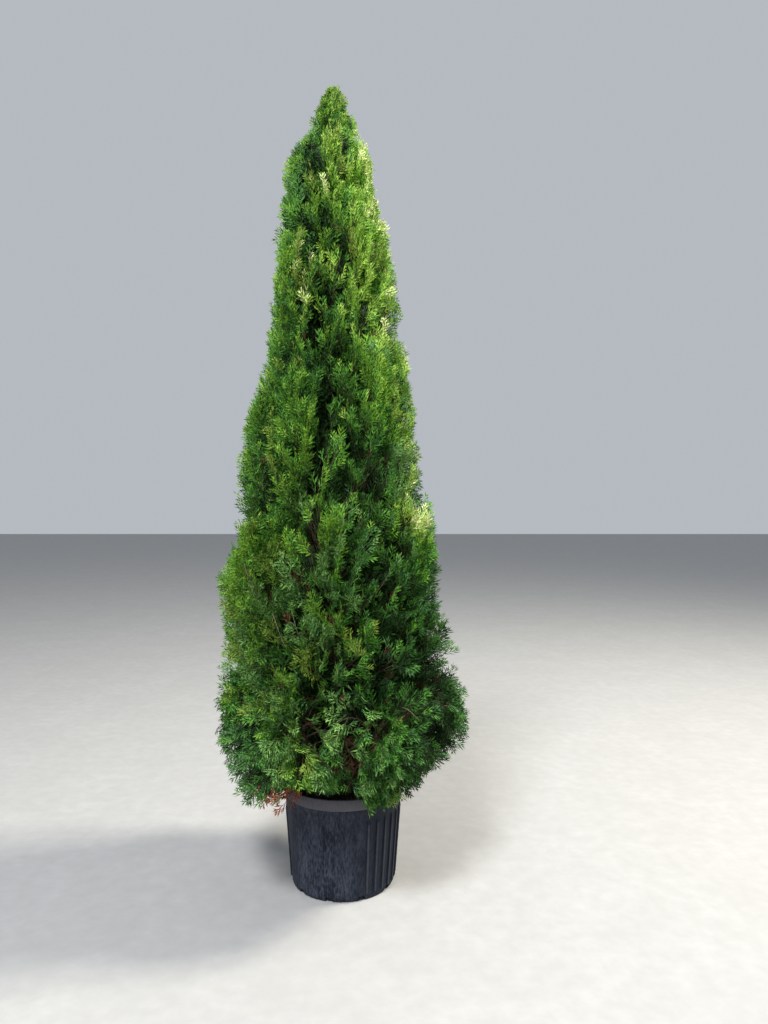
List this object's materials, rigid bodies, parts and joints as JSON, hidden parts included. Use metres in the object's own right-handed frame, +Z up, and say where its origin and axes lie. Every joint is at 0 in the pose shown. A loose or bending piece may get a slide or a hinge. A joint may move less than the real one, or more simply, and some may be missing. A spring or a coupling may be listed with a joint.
{
  "type": "potted thuja",
  "caption": "Tall narrow evergreen with upright feathery plumes of foliage on a leaning trunk, in a round black plastic nursery pot.",
  "frame": {"origin": "centre of the pot's flat underside", "axes": "+Z up towards the leader's tip, -Y towards the front, +X to the right seen from the front"},
  "size_m": [1.0635, 1.1518, 3.3067],
  "materials": {
    "pot": "dusty matt black moulded plastic with faint scuffs",
    "potting_soil": "moist dark potting mix, rough and crumbly",
    "bark": "fibrous red-brown bark that peels in thin upright strips",
    "foliage": "flat fans of scale leaves, deep green inside and fresh yellow-green at the tips"
  },
  "bodies": {
    "root": {"pot": "pot", "potting_soil": "potting_soil", "trunk": "bark", "bough_skirt_1": "bark", "bough_skirt_2": "bark", "bough_skirt_3": "bark", "bough_skirt_4": "bark", "bough_skirt_5": "bark", "bough_skirt_6": "bark", "bough_lower_1": "bark", "bough_lower_2": "bark", "bough_lower_3": "bark", "bough_lower_4": "bark", "bough_lower_5": "bark", "bough_lower_6": "bark", "bough_middle_1": "bark", "bough_middle_2": "bark", "bough_middle_3": "bark", "bough_middle_4": "bark", "bough_middle_5": "bark", "bough_middle_6": "bark", "bough_upper_1": "bark", "bough_upper_2": "bark", "bough_upper_3": "bark", "bough_upper_4": "bark", "bough_upper_5": "bark", "foliage_skirt_1": "foliage", "foliage_skirt_2": "foliage", "foliage_skirt_3": "foliage", "foliage_skirt_4": "foliage", "foliage_skirt_5": "foliage", "foliage_skirt_6": "foliage", "foliage_lower_1": "foliage", "foliage_lower_2": "foliage", "foliage_lower_3": "foliage", "foliage_lower_4": "foliage", "foliage_lower_5": "foliage", "foliage_lower_6": "foliage", "foliage_middle_1": "foliage", "foliage_middle_2": "foliage", "foliage_middle_3": "foliage", "foliage_middle_4": "foliage", "foliage_middle_5": "foliage", "foliage_middle_6": "foliage", "foliage_upper_1": "foliage", "foliage_upper_2": "foliage", "foliage_upper_3": "foliage", "foliage_upper_4": "foliage", "foliage_upper_5": "foliage", "foliage_shoulder_1": "foliage", "foliage_shoulder_2": "foliage", "foliage_shoulder_3": "foliage", "foliage_shoulder_4": "foliage", "foliage_leader": "foliage"}
  },
  "joints": []
}
